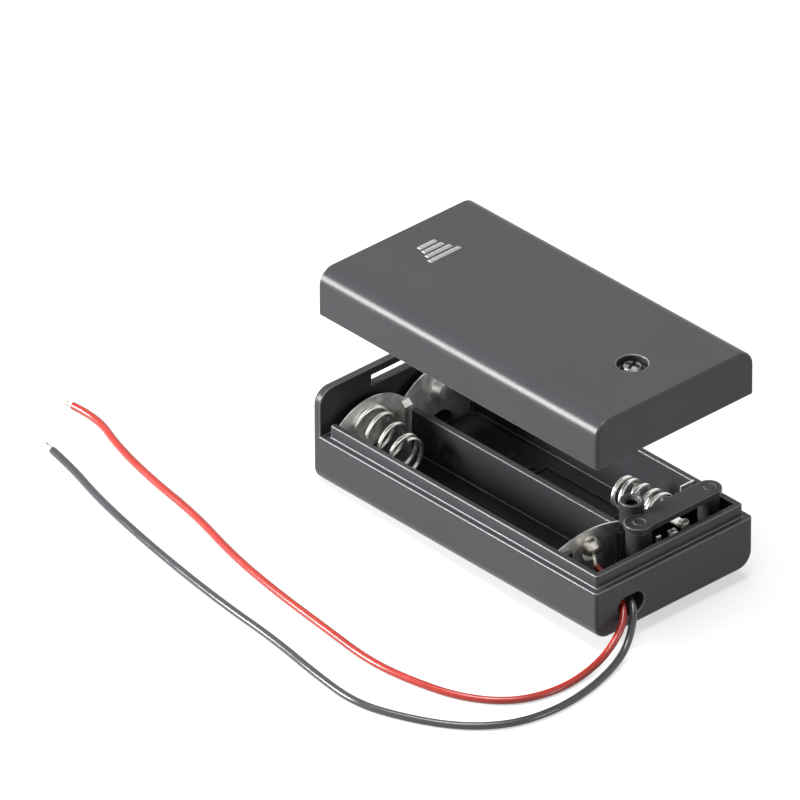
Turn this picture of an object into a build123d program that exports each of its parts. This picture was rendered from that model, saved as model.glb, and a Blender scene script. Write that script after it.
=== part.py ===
"""Two-cell battery holder: a moulded tray with a screw-on lid, coil springs, formed contacts,
a slide switch in the floor and a red and a black lead.

Frame: X runs along the cells towards the end where the leads come out, Y runs across them and
Z points up through the lid. The origin is the centre of the tray's underside. The lid is
modelled lifted straight up off the tray, parallel to it.
"""
from build123d import *
from math import acos, cos, pi, sin, tan
import os

# Cells
cell_diameter = 14.5
cell_length = 50.5
cell_side_play = 0.35
cell_spring_room = 3.1
cell_head_room = 0.7

# Case walls
floor_thickness = 1.4
lid_top_thickness = 1.4
lid_wall = 1.1
lid_play = 0.1
rim_wall = 1.1
partition_thickness = 1.3
partition_height = 8.0
partition_gap = 2.15
end_wall = 1.75
ledge_height = 9.4
rim_height = 2.4
back_wall = 1.5
end_room = 9.35
long_edge_radius = 3.0
end_edge_radius = 0.7
rim_corner_radius = 0.5
tab_slot_width = 12.0
tab_slot_height = 2.1
tab_slot_inset = 1.4
tab_slot_depth = 2.4
lid_lift = 24.0
wall_sink = 0.3

# Lips that hold the contact plates
lip_depth = 0.8
lip_width = 0.9
back_lip_depth = 2.4
back_lip_drop = 0.9
web_height = 8.6

# Grip bars on the lid
grip_first = 6.2
grip_pitch = 1.42
grip_lengths = (3.7, 4.3, 5.4, 6.7)
grip_y = 0.9
grip_width = 0.55
grip_height = 0.3
grip_edge = 0.12

# Contact sheets and springs
sheet = 0.3
sheet_play = 0.05
link_back_gap = 0.2
link_shoulder = 8.9
link_crown = 12.2
bead_width = 1.7
bead_depth = 0.9
bead_foot = 2.0
notch_radius = 3.0
button_radius = 2.3
button_height = 1.2
boss_taper = 0.6
positive_shoulder = 10.0
positive_crown = 11.2
ear_width = 3.0
ear_height = 0.3
tail_width = 1.8
wire_diameter = 0.75
wire_sides = 5
wire_sink = 0.06
spring_points = 7
near_spring_turns = 4.25
near_spring_length = 9.6
near_spring_radii = (4.0, 3.5)
near_spring_sag = 1.7
far_spring_turns = 4.6
far_spring_length = 9.6
far_spring_radii = (3.3, 2.7)

# Screw
screw_radius = 1.0
screw_length = 8.0
screw_point = 1.0
head_radius = 2.0
head_height = 1.5
head_sink = 0.3
recess_play = 0.65
recess_arm = 0.62
recess_reach = 2.5
recess_depth = 0.85
post_offset = 1.25
post_radius = 2.1
post_floor = 2.0
mouth_radius = 1.5
mouth_depth = 0.4
boss_wall = 0.65
boss_floor = 0.6
boss_gap = 0.1
thread_play = 0.05
shank_play = 0.2

# Strap that bridges the switch on two pillars
strap_inset = 4.1
strap_near_y = -2.25
strap_length = 16.0
strap_width = 4.4
strap_thickness = 1.2
strap_rise = 2.2
strap_play = 0.05
eye_radius = 2.5
pillar_radius = 2.2
far_pillar_radius = 1.9
stud_radius = 1.0

# Switch
switch_inset = 3.75
switch_y = 5.0
slot_length = 8.0
slot_width = 3.5
knob_length = 2.8
knob_width = 3.0
knob_proud = 2.2
knob_ridges = 4
knob_groove = 0.3
switch_travel = 3.0
switch_play = 0.1
frame_length = 9.8
frame_width = 4.1
frame_height = 3.7
board_thickness = 0.9
carriage_thickness = 1.0
terminal_margin = 1.6
terminal_width = 0.9
terminal_sheet = 0.4
terminal_room = 3.3
pad_thickness = 0.2
clip_play = 0.05
solder_radius = 0.95
solder_offset = 0.15

# Leads
lead_diameter = 1.3
lead_sides = 8
core_diameter = 0.75
tip_length = 2.4
lead_hole_width = 6.0
lead_hole_height = 4.0
lead_hole_y = -9.95
lead_hole_z = 4.1
positive_solder_y = -8.7
positive_solder_z = 10.1
positive_solder_radius = 1.6

# Sizes that follow
bay_width = cell_diameter + cell_side_play
bay_y = (bay_width + partition_thickness) / 2
bay_half = bay_width + partition_thickness / 2
rim_half = bay_half + rim_wall
case_half = rim_half + lid_play + lid_wall
case_height = floor_thickness + cell_diameter + cell_head_room + lid_top_thickness
cell_z = floor_thickness + cell_diameter / 2
contact_distance = cell_length + cell_spring_room
left_length = end_wall + lid_play + lid_wall + link_back_gap
right_length = end_room + rim_wall + lid_play + lid_wall
case_length = left_length + sheet + contact_distance + sheet + right_length
x_left = -case_length / 2
x_right = case_length / 2
x_wall = x_left + end_wall
x_lid = x_wall + lid_play
x_bay = x_lid + lid_wall + link_back_gap
x_link = x_bay + sheet
x_plate = x_link + contact_distance
x_bar = x_plate + sheet
x_bay_end = x_bar + end_room
x_rim_end = x_bay_end + rim_wall
x_screw = x_bar + post_offset
x_strap = x_bay_end - strap_inset
x_switch = x_bay_end - switch_inset
rim_top = ledge_height + rim_height
partition_top = floor_thickness + partition_height
head_seat = case_height - head_sink - head_height
recess_radius = head_radius + recess_play
boss_radius = recess_radius + boss_wall
boss_bottom = head_seat - boss_floor
post_top = boss_bottom - boss_gap
strap_top = rim_top + strap_rise
strap_bottom = strap_top - strap_thickness
strap_far_y = strap_near_y + strap_length
frame_top = floor_thickness + frame_height
terminal_top = strap_bottom - terminal_room
terminal_pitch = (frame_length - 2 * sheet - 2 * terminal_margin) / 2
knob_rest_y = switch_y + switch_travel / 2
tail_y = switch_y + terminal_pitch
tail_top = terminal_top - sheet
tail_end = x_switch - terminal_sheet / 2
plate_edge = (post_radius ** 2 - post_offset ** 2) ** 0.5 + sheet_play
wall_edge = bay_half - sheet_play
lid_raise = Pos(0, 0, lid_lift)

# The tray rests on its left bottom edge and on the switch knob, so the table slopes in its frame
table_edge_x = x_left + end_edge_radius
knob_foot_x = x_switch - knob_width / 2 + knob_groove
table_slope = knob_proud / (knob_foot_x - table_edge_x)


def table(x):
    """Height of the table under a point at x, in the tray's frame."""
    return -table_slope * (x - table_edge_x)


def laid(x, y):
    """Point on the centreline of a lead that lies on the table."""
    return (x, y, table(x) + lead_diameter / 2)


# Centrelines of the leads, from their soldered ends outwards
red_route = (
    (x_bar + 3.75, -10.4, 8.2),
    (x_bar + 7.35, -9.6, 5.6),
    (x_right + 1.0, -11.9, 3.1),
    (x_right + 2.2, -16.6, -0.7),
    laid(38.0, -23.5),
    laid(38.3, -31.0),
    laid(35.8, -38.2),
    laid(29.6, -43.4),
    laid(21.5, -46.1),
    laid(12.0, -47.7),
    laid(0.0, -46.6),
    laid(-13.0, -45.5),
    laid(-26.0, -43.6),
    laid(-39.0, -40.2),
    laid(-52.0, -38.5),
    laid(-63.0, -36.1),
    laid(-71.5, -32.9),
    laid(-77.1, -33.6),
)
black_route = (
    (x_bay_end - 1.6, 2.6, 8.4),
    (x_bay_end - 0.9, -1.2, 7.7),
    (x_bay_end - 1.5, -5.2, 6.5),
    (x_bay_end - 0.3, -8.9, 5.0),
    (x_right + 1.2, -10.1, 3.8),
    (x_right + 3.2, -13.7, -0.9),
    laid(39.7, -19.2),
    laid(41.7, -26.5),
    laid(42.3, -34.5),
    laid(40.7, -42.4),
    laid(35.8, -49.2),
    laid(28.2, -54.2),
    laid(19.4, -57.7),
    laid(9.0, -56.9),
    laid(-3.0, -55.2),
    laid(-16.0, -54.5),
    laid(-29.0, -53.1),
    laid(-42.0, -51.2),
    laid(-54.0, -48.9),
    laid(-63.0, -46.3),
    laid(-69.2, -45.2),
)


def block(x0, x1, y0, y1, z0, z1):
    """Box given by its limits along each axis."""
    return Pos((x0 + x1) / 2, (y0 + y1) / 2, (z0 + z1) / 2) * Box(x1 - x0, y1 - y0, z1 - z0)


def rod(x, y, z0, z1, radius):
    """Upright cylinder between two heights."""
    return Pos(x, y, (z0 + z1) / 2) * Cylinder(radius, z1 - z0)


def across(profile, x0, x1):
    """Extrude a sketch drawn in the plane across the case, from x0 to x1."""
    plane = Plane(origin=(x0, 0, 0), x_dir=(0, 1, 0), z_dir=(1, 0, 0))
    return extrude(plane * profile, amount=x1 - x0)


def pin(start, end, radius):
    """Round bar between two points."""
    line = Line(start, end)
    return sweep(Plane(origin=line @ 0, z_dir=line % 0) * Circle(radius), path=line)


def boss(x, y, z, radius, height, side):
    """Tapered round boss that stands out along X from the plane at x, towards the given side."""
    cone = Cone(radius, radius * boss_taper, height, align=(Align.CENTER, Align.CENTER, Align.MIN))
    return Pos(x, y, z) * Rot(0, 90 * side, 0) * cone


def outer_shell():
    """Outside of the closed case: a rounded section run along X with eased ends."""
    section = Pos(0, case_height / 2) * RectangleRounded(2 * case_half, case_height, long_edge_radius)
    solid = across(section, x_left, x_right)
    ends = solid.edges().filter_by_position(Axis.X, x_left, x_left)
    ends += solid.edges().filter_by_position(Axis.X, x_right, x_right)
    return fillet(ends, end_edge_radius)


def plate_wall():
    """Wall behind the far spring's plate, with a notch for the plate's tail."""
    low = floor_thickness - wall_sink
    wall = block(x_bar, x_bar + back_wall, 0, bay_half + wall_sink, low, ledge_height)
    half = tail_width / 2 + switch_play
    notch = block(x_bar - 1, x_bar + back_wall + 1, tail_y - half, tail_y + half, tail_top - sheet,
                  ledge_height + 1)
    return wall - notch


def pillar(y, radius):
    """Pillar of the switch strap, with the stud that goes through the strap's eye."""
    stem = rod(x_strap, y, floor_thickness - wall_sink, strap_bottom, radius)
    return stem + rod(x_strap, y, strap_bottom - 1, strap_top, stud_radius)


def wall_lip(side, x0, depth=lip_depth, top=ledge_height):
    """Upright lip on a side wall, lip_width thick from x0."""
    y0, y1 = sorted((side * (bay_half - depth), side * (bay_half + wall_sink)))
    return block(x0, x0 + lip_width, y0, y1, floor_thickness - wall_sink, top)


def contact_lips():
    """Lips and a web that trap the edges of the contact plates."""
    lips = []
    half = partition_thickness / 2
    back = x_plate - sheet_play - lip_width
    for side in (-1, 1):
        lips.append(wall_lip(side, x_link + sheet_play))
        lips.append(wall_lip(side, back))
        y0, y1 = sorted((side * (half - wall_sink), side * (plate_edge + lip_depth)))
        lips.append(block(back, back + lip_width, y0, y1, floor_thickness - wall_sink, partition_top))
    lips.append(wall_lip(-1, x_bar + sheet_play, back_lip_depth, rim_top - back_lip_drop))
    lips.append(block(x_bar + sheet_play, x_screw, -plate_edge - lip_depth, half,
                      floor_thickness - wall_sink, floor_thickness + web_height))
    return lips


def switch_ribs():
    """Two low ribs across the switch bay that keep the switch from sliding along its slot."""
    ribs = []
    for side in (-1, 1):
        inner = switch_y + side * (frame_length / 2 + switch_play)
        y0, y1 = sorted((inner, inner + side * rim_wall))
        ribs.append(block(x_bar + back_wall - wall_sink, x_bay_end + wall_sink, y0, y1,
                          floor_thickness - wall_sink, frame_top - board_thickness))
    return ribs


def base_case():
    """Moulded tray: tall slotted end wall, rim, two cell bays, screw post, pillars and switch bay."""
    over = case_half + 1
    tray = outer_shell()
    tray -= block(x_wall, x_right + 1, -over, over, ledge_height, case_height + 1)
    rim = block(x_bay, x_rim_end, -rim_half, rim_half, ledge_height - 1, rim_top)
    corners = rim.edges().filter_by(Axis.Z).sort_by(Axis.X)[-2:]
    tray += fillet(corners, rim_corner_radius)
    tray -= block(x_bay, x_bay_end, -bay_half, bay_half, floor_thickness, rim_top + 1)
    tab_top = case_height - tab_slot_inset
    tray -= block(x_left - 1, x_left + tab_slot_depth, -tab_slot_width / 2, tab_slot_width / 2,
                  tab_top - tab_slot_height, tab_top)

    half = partition_thickness / 2
    low = floor_thickness - wall_sink
    tray += block(x_link + partition_gap, x_screw, -half, half, low, partition_top)
    tray += block(x_screw, x_strap, -half, 0, low, partition_top)
    tray += rod(x_screw, 0, low, post_top, post_radius)
    tray += plate_wall()
    tray += pillar(strap_near_y, pillar_radius)
    tray += pillar(strap_far_y, far_pillar_radius)
    for piece in contact_lips() + switch_ribs():
        tray += piece
    tray -= rod(x_screw, 0, floor_thickness + post_floor, post_top + 1, screw_radius + thread_play)
    tray -= rod(x_screw, 0, post_top - mouth_depth, post_top + 1, mouth_radius)
    tray -= block(x_switch - slot_width / 2, x_switch + slot_width / 2, switch_y - slot_length / 2,
                  switch_y + slot_length / 2, -1, floor_thickness + wall_sink)
    hole = Pos(lead_hole_y, lead_hole_z) * SlotOverall(lead_hole_width, lead_hole_height)
    tray -= across(hole, x_bay_end - wall_sink, x_right + 1)
    return tray


def switch_strap():
    """Flat strap over the switch with an eye for the near pillar's stud and a scallop for the post."""
    middle = (strap_near_y + strap_far_y) / 2
    outline = Pos(x_strap, middle) * Rectangle(strap_width, strap_length)
    outline += Pos(x_strap, strap_near_y) * Circle(eye_radius)
    outline += Pos(x_strap, strap_far_y) * Circle(strap_width / 2)
    for y in (strap_near_y, strap_far_y):
        outline -= Pos(x_strap, y) * Circle(stud_radius + strap_play)
    outline -= Pos(x_screw, 0) * Circle(post_radius + strap_play)
    return Pos(0, 0, strap_bottom) * extrude(outline, amount=strap_thickness)


def lid():
    """Moulded lid: a hollow shell with a screw boss, a recess for the screw head and grip bars."""
    over = case_half + 1
    body = outer_shell()
    body &= block(x_lid, x_right + 1, -over, over, ledge_height, case_height + 1)
    hollow = block(x_lid + lid_wall, x_right - lid_wall, -case_half + lid_wall, case_half - lid_wall,
                   ledge_height - 1, case_height - lid_top_thickness)
    upper = hollow.edges().filter_by(Axis.X).sort_by(Axis.Z)[-2:]
    body -= fillet(upper, long_edge_radius - lid_wall)
    body += rod(x_screw, 0, boss_bottom, case_height - 0.5, boss_radius)
    body -= rod(x_screw, 0, head_seat, case_height + 1, recess_radius)
    body -= rod(x_screw, 0, ledge_height - 1, case_height, screw_radius + shank_play)
    for index, length in enumerate(grip_lengths):
        x = x_lid + grip_first + index * grip_pitch
        grip = Pos(x, grip_y, case_height) * Box(grip_width, length, 2 * grip_height)
        body += chamfer(grip.edges().group_by(Axis.Z)[-1], grip_edge)
    return lid_raise * body


def lid_screw():
    """Pan-head screw with a cross recess; it turns in the lid's boss and bites into the post."""
    bottom = head_seat - screw_length
    top = head_seat + head_height
    edge = head_seat + head_height * 0.45
    with BuildSketch(Plane.XZ) as half:
        with BuildLine():
            Polyline((0, top), (0, bottom), (screw_radius * 0.3, bottom),
                     (screw_radius, bottom + screw_point), (screw_radius, head_seat),
                     (head_radius, head_seat), (head_radius, edge),
                     (head_radius * 0.75, head_seat + head_height * 0.88), (head_radius * 0.4, top),
                     close=True)
        make_face()
    screw = revolve(half.sketch, Axis.Z)
    for angle in (20, 110):
        screw -= Pos(0, 0, top) * Rot(0, 0, angle) * Box(recess_reach, recess_arm, 2 * recess_depth)
    return lid_raise * Pos(x_screw, 0, 0) * screw


def arched(y0, y1, shoulder, crown):
    """Sheet contact seen along the cells: straight sides under an arched top."""
    with BuildSketch() as face:
        with BuildLine():
            Polyline((y0, shoulder), (y0, floor_thickness), (y1, floor_thickness), (y1, shoulder))
            ThreePointArc((y1, shoulder), ((y0 + y1) / 2, crown), (y0, shoulder))
        make_face()
    return face.sketch


def button(x, y, side):
    """Round button pressed out of a sheet whose two faces lie at x and x - side * sheet."""
    return boss(x, y, cell_z, button_radius, button_height, side)


def dent(x, y, side):
    """Hollow behind a pressed button."""
    return boss(x, y, cell_z, button_radius - sheet, button_height - 0.1, side)


def bead(x0, x1, half, foot, head):
    """Upright fold across the sheet, with a top that slopes back into it."""
    slope = x1 - x0
    profile = Polyline((x0, 0, foot), (x1, 0, foot), (x1, 0, head - slope), (x0, 0, head), close=True)
    return extrude(make_face(profile), amount=half, dir=(0, 1, 0), both=True)


def link_plate():
    """Series link across the left end: spring plate, folded bead and button plate in one sheet."""
    shoulder = floor_thickness + link_shoulder
    crown = floor_thickness + link_crown
    outline = arched(-wall_edge, 0, shoulder, crown) + arched(0, wall_edge, shoulder, crown)
    plate = across(outline, x_bay, x_link)
    foot = floor_thickness + bead_foot
    plate += bead(x_bay, x_link + bead_depth, bead_width / 2, foot, shoulder)
    plate -= bead(x_bay - 1, x_link + bead_depth - sheet, bead_width / 2 - sheet, foot + sheet,
                  shoulder - sheet)
    plate += button(x_link, bay_y, 1)
    plate -= dent(x_bay, bay_y, 1)
    for side in (-1, 1):
        plate -= Pos(x_link, side * bay_y, floor_thickness) * Rot(0, 90, 0) * Cylinder(notch_radius, 2)
    return plate


def positive_plate():
    """Button contact of the near bay; its button presses the cell and the red lead is behind it."""
    outline = arched(-wall_edge, -plate_edge, floor_thickness + positive_shoulder,
                     floor_thickness + positive_crown)
    plate = across(outline, x_plate, x_bar)
    plate += button(x_plate, -bay_y, -1)
    plate -= dent(x_bar, -bay_y, -1)
    return plate


def spring_plate():
    """Plate that carries the far spring, with an ear at the wall and a tail to the switch."""
    plate = block(x_plate, x_bar, plate_edge, wall_edge, floor_thickness, ledge_height)
    plate += block(x_plate, x_bar, wall_edge - ear_width, wall_edge, ledge_height - 1,
                   rim_top + ear_height)
    half = tail_width / 2
    plate += block(x_plate, tail_end, tail_y - half, tail_y + half, tail_top - sheet, tail_top)
    return plate


def spring(turns, length, radii, sag):
    """Coil spring from the origin along +X: first half turn flat, last turn closed."""
    flat = 0.5
    closed = 1.0
    closed_pitch = wire_diameter * 1.15
    reach = length - wire_diameter
    open_pitch = (reach - closed * closed_pitch) / (turns - flat - closed)
    steps = round(turns * spring_points)
    points = []
    for index in range(steps + 1):
        turn = turns * index / steps
        open_turns = min(max(turn - flat, 0), turns - flat - closed)
        closed_turns = max(turn - turns + closed, 0)
        along = open_pitch * open_turns + closed_pitch * closed_turns
        share = along / reach
        radius = radii[0] + (radii[1] - radii[0]) * share
        angle = 2 * pi * turn
        points.append((wire_diameter / 2 - wire_sink + along, radius * cos(angle),
                       radius * sin(angle) - sag * share ** 1.5))
    path = Spline(*points)
    profile = Plane(origin=path @ 0, z_dir=path % 0) * RegularPolygon(wire_diameter / 2, wire_sides)
    return sweep(profile, path=path, is_frenet=True)


def near_spring():
    """Negative spring of the near bay on the link plate; its free end hangs a little."""
    coil = spring(near_spring_turns, near_spring_length, near_spring_radii, near_spring_sag)
    return Pos(x_link, -bay_y, cell_z - 1.0) * coil


def far_spring():
    """Negative spring of the far bay, on the plate in front of the wall."""
    coil = spring(far_spring_turns, far_spring_length, far_spring_radii, 0)
    return Pos(x_plate, bay_y, cell_z) * Rot(0, 0, 180) * coil


def switch_frame():
    """Bent metal frame of the switch; its slotted face lies on the tray's floor."""
    half_x = frame_width / 2
    half_y = frame_length / 2
    frame = block(x_switch - half_x, x_switch + half_x, switch_y - half_y, switch_y + half_y,
                  floor_thickness, frame_top)
    frame -= block(x_switch - half_x + sheet, x_switch + half_x - sheet, switch_y - half_y + sheet,
                   switch_y + half_y - sheet, floor_thickness + sheet, frame_top + 1)
    open_x = knob_width / 2 + switch_play
    open_y = (knob_length + switch_travel) / 2 + switch_play
    frame -= block(x_switch - open_x, x_switch + open_x, switch_y - open_y, switch_y + open_y,
                   floor_thickness - 1, floor_thickness + 1)
    return frame


def terminal_place(index):
    """Place along Y of one of the three terminals."""
    return switch_y + (index - 1) * terminal_pitch


def switch_board():
    """Insulating board that closes the switch frame and holds the terminals."""
    half_x = frame_width / 2 - sheet
    half_y = frame_length / 2 - sheet
    board = block(x_switch - half_x, x_switch + half_x, switch_y - half_y, switch_y + half_y,
                  frame_top - board_thickness, frame_top)
    for index in range(3):
        y = terminal_place(index)
        board -= block(x_switch - terminal_sheet / 2, x_switch + terminal_sheet / 2,
                       y - terminal_width / 2, y + terminal_width / 2, 0, frame_top + 1)
    return board


def switch_terminal(index):
    """Flat terminal through the board, with a contact pad under it."""
    y = terminal_place(index)
    under = frame_top - board_thickness
    terminal = block(x_switch - terminal_sheet / 2, x_switch + terminal_sheet / 2,
                     y - terminal_width / 2, y + terminal_width / 2, under, terminal_top)
    half = terminal_width
    pad = block(x_switch - half, x_switch + half, y - half, y + half, under - pad_thickness, under)
    return terminal + pad


def switch_slider():
    """Ridged knob under the floor on a carriage that runs inside the switch frame."""
    bottom = floor_thickness + sheet
    half_x = frame_width / 2 - sheet - switch_play
    half_y = (frame_length - switch_travel) / 2 - sheet - switch_play
    y = knob_rest_y
    slider = block(x_switch - half_x, x_switch + half_x, y - half_y, y + half_y, bottom,
                   bottom + carriage_thickness)
    half_w = knob_width / 2
    half_l = knob_length / 2
    slider += block(x_switch - half_w, x_switch + half_w, y - half_l, y + half_l, -knob_proud, bottom + 0.1)
    pitch = knob_length / knob_ridges
    for index in range(knob_ridges - 1):
        groove_y = y - half_l + (index + 1) * pitch
        slider -= block(x_switch - half_w - 1, x_switch + half_w + 1, groove_y - pitch / 4,
                        groove_y + pitch / 4, -knob_proud - 1, -knob_proud + knob_groove)
    return slider


def switch_contact():
    """Bridging contact on the carriage; it joins the middle terminal to the one beside it."""
    bottom = floor_thickness + sheet + carriage_thickness
    top = frame_top - board_thickness - pad_thickness - clip_play
    half = terminal_pitch / 2 + terminal_width / 2
    y = knob_rest_y
    clip = block(x_switch - terminal_width, x_switch + terminal_width, y - half, y + half, bottom,
                 bottom + sheet)
    for side in (-1, 1):
        y0, y1 = sorted((y + side * half, y + side * (half - terminal_width)))
        clip += block(x_switch - terminal_width / 2, x_switch + terminal_width / 2, y0, y1, bottom, top)
    return clip


def lead_radii(route):
    """Largest even bend at each corner of a route."""
    radii = []
    for before, corner, after in zip(route, route[1:], route[2:]):
        run_in = Vector(*corner) - Vector(*before)
        run_out = Vector(*after) - Vector(*corner)
        turn = acos(run_in.normalized().dot(run_out.normalized()))
        radii.append(0.45 * min(run_in.length, run_out.length) / tan(turn / 2))
    return radii


def lead_path(route):
    """Centreline of a lead through the corners of its route."""
    return FilletPolyline(*route, radius=lead_radii(route))


def lead(path):
    """Insulated part of a lead, on a many-sided section of the same area as the round one."""
    share = 2 * pi / lead_sides
    radius = lead_diameter / 2 * (share / sin(share)) ** 0.5
    return sweep(Plane(origin=path @ 0, z_dir=path % 0) * RegularPolygon(radius, lead_sides), path=path)


def lead_tip(path):
    """Tinned bare end of a lead, in line with its insulation."""
    start = path @ 1
    return pin(tuple(start), tuple(start + (path % 1) * tip_length), core_diameter / 2)


def solder_bead(centre):
    """Bead of solder on a terminal, with eased ends."""
    bead = extrude(RegularPolygon(solder_radius, 8), amount=1.6 * solder_radius)
    bead = chamfer(bead.edges().group_by(Axis.Z)[0] + bead.edges().group_by(Axis.Z)[-1], solder_radius * 0.4)
    return Pos(*centre) * Pos(0, 0, -0.8 * solder_radius) * bead


def positive_solder():
    """Solder on the back of the button contact with the bare end of the red lead in it."""
    path = lead_path(red_route)
    start = path @ 0
    knee = start - (path % 0) * core_diameter
    joint = boss(x_bar, positive_solder_y, positive_solder_z, positive_solder_radius,
                positive_solder_radius * 0.6, 1)
    centre = Vector(x_bar + positive_solder_radius * 0.25, positive_solder_y, positive_solder_z)
    joint += pin(tuple(start), tuple(knee), core_diameter / 2)
    joint += Pos(*knee) * Sphere(core_diameter / 2)
    joint += pin(tuple(knee), tuple(centre), core_diameter / 2)
    return joint


def negative_solder():
    """Solder on the middle terminal with the bare end of the black lead in it."""
    path = lead_path(black_route)
    start = path @ 0
    knee = start - (path % 0) * core_diameter
    centre = Vector(x_switch + terminal_sheet / 2 + solder_offset, terminal_place(1),
                    terminal_top - 2 * sheet)
    joint = solder_bead(centre)
    joint += pin(tuple(start), tuple(knee), core_diameter / 2)
    joint += Pos(*knee) * Sphere(core_diameter / 2)
    joint += pin(tuple(knee), tuple(centre), core_diameter / 2)
    return joint - switch_terminal(1)


def tail_solder():
    """Solder that joins the spring plate's tail to the far terminal."""
    joint = solder_bead(Vector(tail_end - solder_offset, tail_y, terminal_top - sheet))
    return joint - switch_terminal(2) - spring_plate()


def nodes():
    """Every piece by its name."""
    red = lead_path(red_route)
    black = lead_path(black_route)
    pieces = {
        "base_case": base_case(),
        "lid": lid(),
        "lid_screw": lid_screw(),
        "switch_strap": switch_strap(),
        "link_plate": link_plate(),
        "positive_plate": positive_plate(),
        "spring_plate": spring_plate(),
        "near_spring": near_spring(),
        "far_spring": far_spring(),
        "switch_frame": switch_frame(),
        "switch_board": switch_board(),
        "switch_slider": switch_slider(),
        "switch_contact": switch_contact(),
        "positive_solder": positive_solder(),
        "negative_solder": negative_solder(),
        "tail_solder": tail_solder(),
        "red_lead": lead(red),
        "red_lead_tip": lead_tip(red),
        "black_lead": lead(black),
        "black_lead_tip": lead_tip(black),
    }
    for index in range(3):
        pieces[f"switch_terminal_{index + 1}"] = switch_terminal(index)
    return pieces


def write_parts():
    """Write one STEP file for each piece and print the leads' lengths and bends."""
    os.makedirs("parts", exist_ok=True)
    for name, piece in nodes().items():
        piece.label = name
        export_step(piece, f"parts/{name}.step")
    for name, route in (("red", red_route), ("black", black_route)):
        print(name, "lead length", round(lead_path(route).length, 1),
              "bend radii", [round(radius, 1) for radius in lead_radii(route)])


if __name__ == "__main__":
    write_parts()
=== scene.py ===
"""Two-cell battery holder with its screw-on lid lifted off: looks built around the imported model.

Lengths are in metres. X runs along the cells towards the leads, Y across them and Z up.
"""
import math

import bmesh
import bpy
from mathutils import Matrix, Vector, noise


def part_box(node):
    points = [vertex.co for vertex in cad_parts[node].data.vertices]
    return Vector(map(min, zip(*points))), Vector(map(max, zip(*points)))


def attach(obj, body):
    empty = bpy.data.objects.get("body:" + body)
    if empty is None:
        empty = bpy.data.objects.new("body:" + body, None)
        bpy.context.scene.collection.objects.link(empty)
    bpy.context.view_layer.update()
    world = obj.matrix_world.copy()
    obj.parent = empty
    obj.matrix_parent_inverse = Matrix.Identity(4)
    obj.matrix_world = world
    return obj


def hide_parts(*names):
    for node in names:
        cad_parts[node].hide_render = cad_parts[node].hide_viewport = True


bl_info = {
    "name": "Two-cell battery holder",
    "version": (1, 0, 0),
    "blender": (4, 5, 0),
    "location": "View3D > Sidebar > Holder",
    "description": "Dresses the packed holder: moulded case, contacts, springs, leads and stage",
    "category": "Object",
}

MM = 0.001

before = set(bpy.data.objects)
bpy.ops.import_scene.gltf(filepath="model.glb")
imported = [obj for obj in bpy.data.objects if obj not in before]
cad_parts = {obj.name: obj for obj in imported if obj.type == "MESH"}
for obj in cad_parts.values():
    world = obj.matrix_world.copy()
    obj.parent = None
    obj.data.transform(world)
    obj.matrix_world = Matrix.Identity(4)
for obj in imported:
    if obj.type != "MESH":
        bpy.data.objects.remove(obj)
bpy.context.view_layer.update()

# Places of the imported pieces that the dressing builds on
lid_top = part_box("lid")[1].z
screw_low, screw_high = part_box("lid_screw")

# The tray rests on its left bottom edge and on the switch knob
TABLE_EDGE_X = -33.8 * MM
KNOB_FOOT_X = 27.25 * MM
KNOB_FOOT_Z = -2.2 * MM
TABLE_SLOPE = -KNOB_FOOT_Z / (KNOB_FOOT_X - TABLE_EDGE_X)


def table(x):
    """Height of the table under a point at x."""
    return -TABLE_SLOPE * (x - TABLE_EDGE_X)


def linear(hex_colour):
    """Linear RGBA of an sRGB hex value such as 'a0b1c2'."""
    channels = [int(hex_colour[i:i + 2], 16) / 255 for i in (0, 2, 4)]
    return [c / 12.92 if c <= 0.04045 else ((c + 0.055) / 1.055) ** 2.4 for c in channels] + [1.0]


def add(tree, kind, settings=None, links=None):
    """Adds one node: settings by property or input name, links from other nodes' sockets."""
    made = tree.nodes.new(kind)
    for key, value in (settings or {}).items():
        if isinstance(key, int) or key in made.inputs:
            made.inputs[key].default_value = value
        else:
            setattr(made, key, value)
    for key, source in (links or {}).items():
        tree.links.new(source, made.inputs[key])
    return made


# Layers of noise in the patches of a finish
PATCH_DETAIL = 3.0


def grain(size):
    """Noise scale whose patches are about this many millimetres across."""
    return 1 / (size * MM)


def new_material(name):
    """Empty node material and its tree."""
    material = bpy.data.materials.new(name)
    material.use_nodes = True
    material.node_tree.nodes.clear()
    return material, material.node_tree


def finish_material(tree, shader):
    """Connects the shader to the material's output."""
    add(tree, "ShaderNodeOutputMaterial", links={"Surface": shader.outputs["BSDF"]})


def varied_colour(tree, place, dark, light, scale, low=0.35, high=0.65):
    """Colour that wanders between two hex values; scale is in patches per metre."""
    patches = add(tree, "ShaderNodeTexNoise", {"Scale": scale, "Detail": PATCH_DETAIL}, {"Vector": place})
    ramp = add(tree, "ShaderNodeValToRGB", links={"Fac": patches.outputs["Fac"]})
    ramp.color_ramp.elements[0].position = low
    ramp.color_ramp.elements[0].color = linear(dark)
    ramp.color_ramp.elements[1].position = high
    ramp.color_ramp.elements[1].color = linear(light)
    return ramp.outputs["Color"]


def shaded(tree, place, base, scale, spread=0.12):
    """Colour of the group that wanders a little darker and lighter over the surface."""
    patches = add(tree, "ShaderNodeTexNoise", {"Scale": scale, "Detail": PATCH_DETAIL}, {"Vector": place})
    level = add(tree, "ShaderNodeMapRange",
                {"From Min": 0.3, "From Max": 0.7, "To Min": 1 - spread, "To Max": 1 + spread},
                {"Value": patches.outputs["Fac"]})
    tone = add(tree, "ShaderNodeHueSaturation", {"Color": (*base, 1.0)}, {"Value": level.outputs["Result"]})
    return tone.outputs["Color"]


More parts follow.
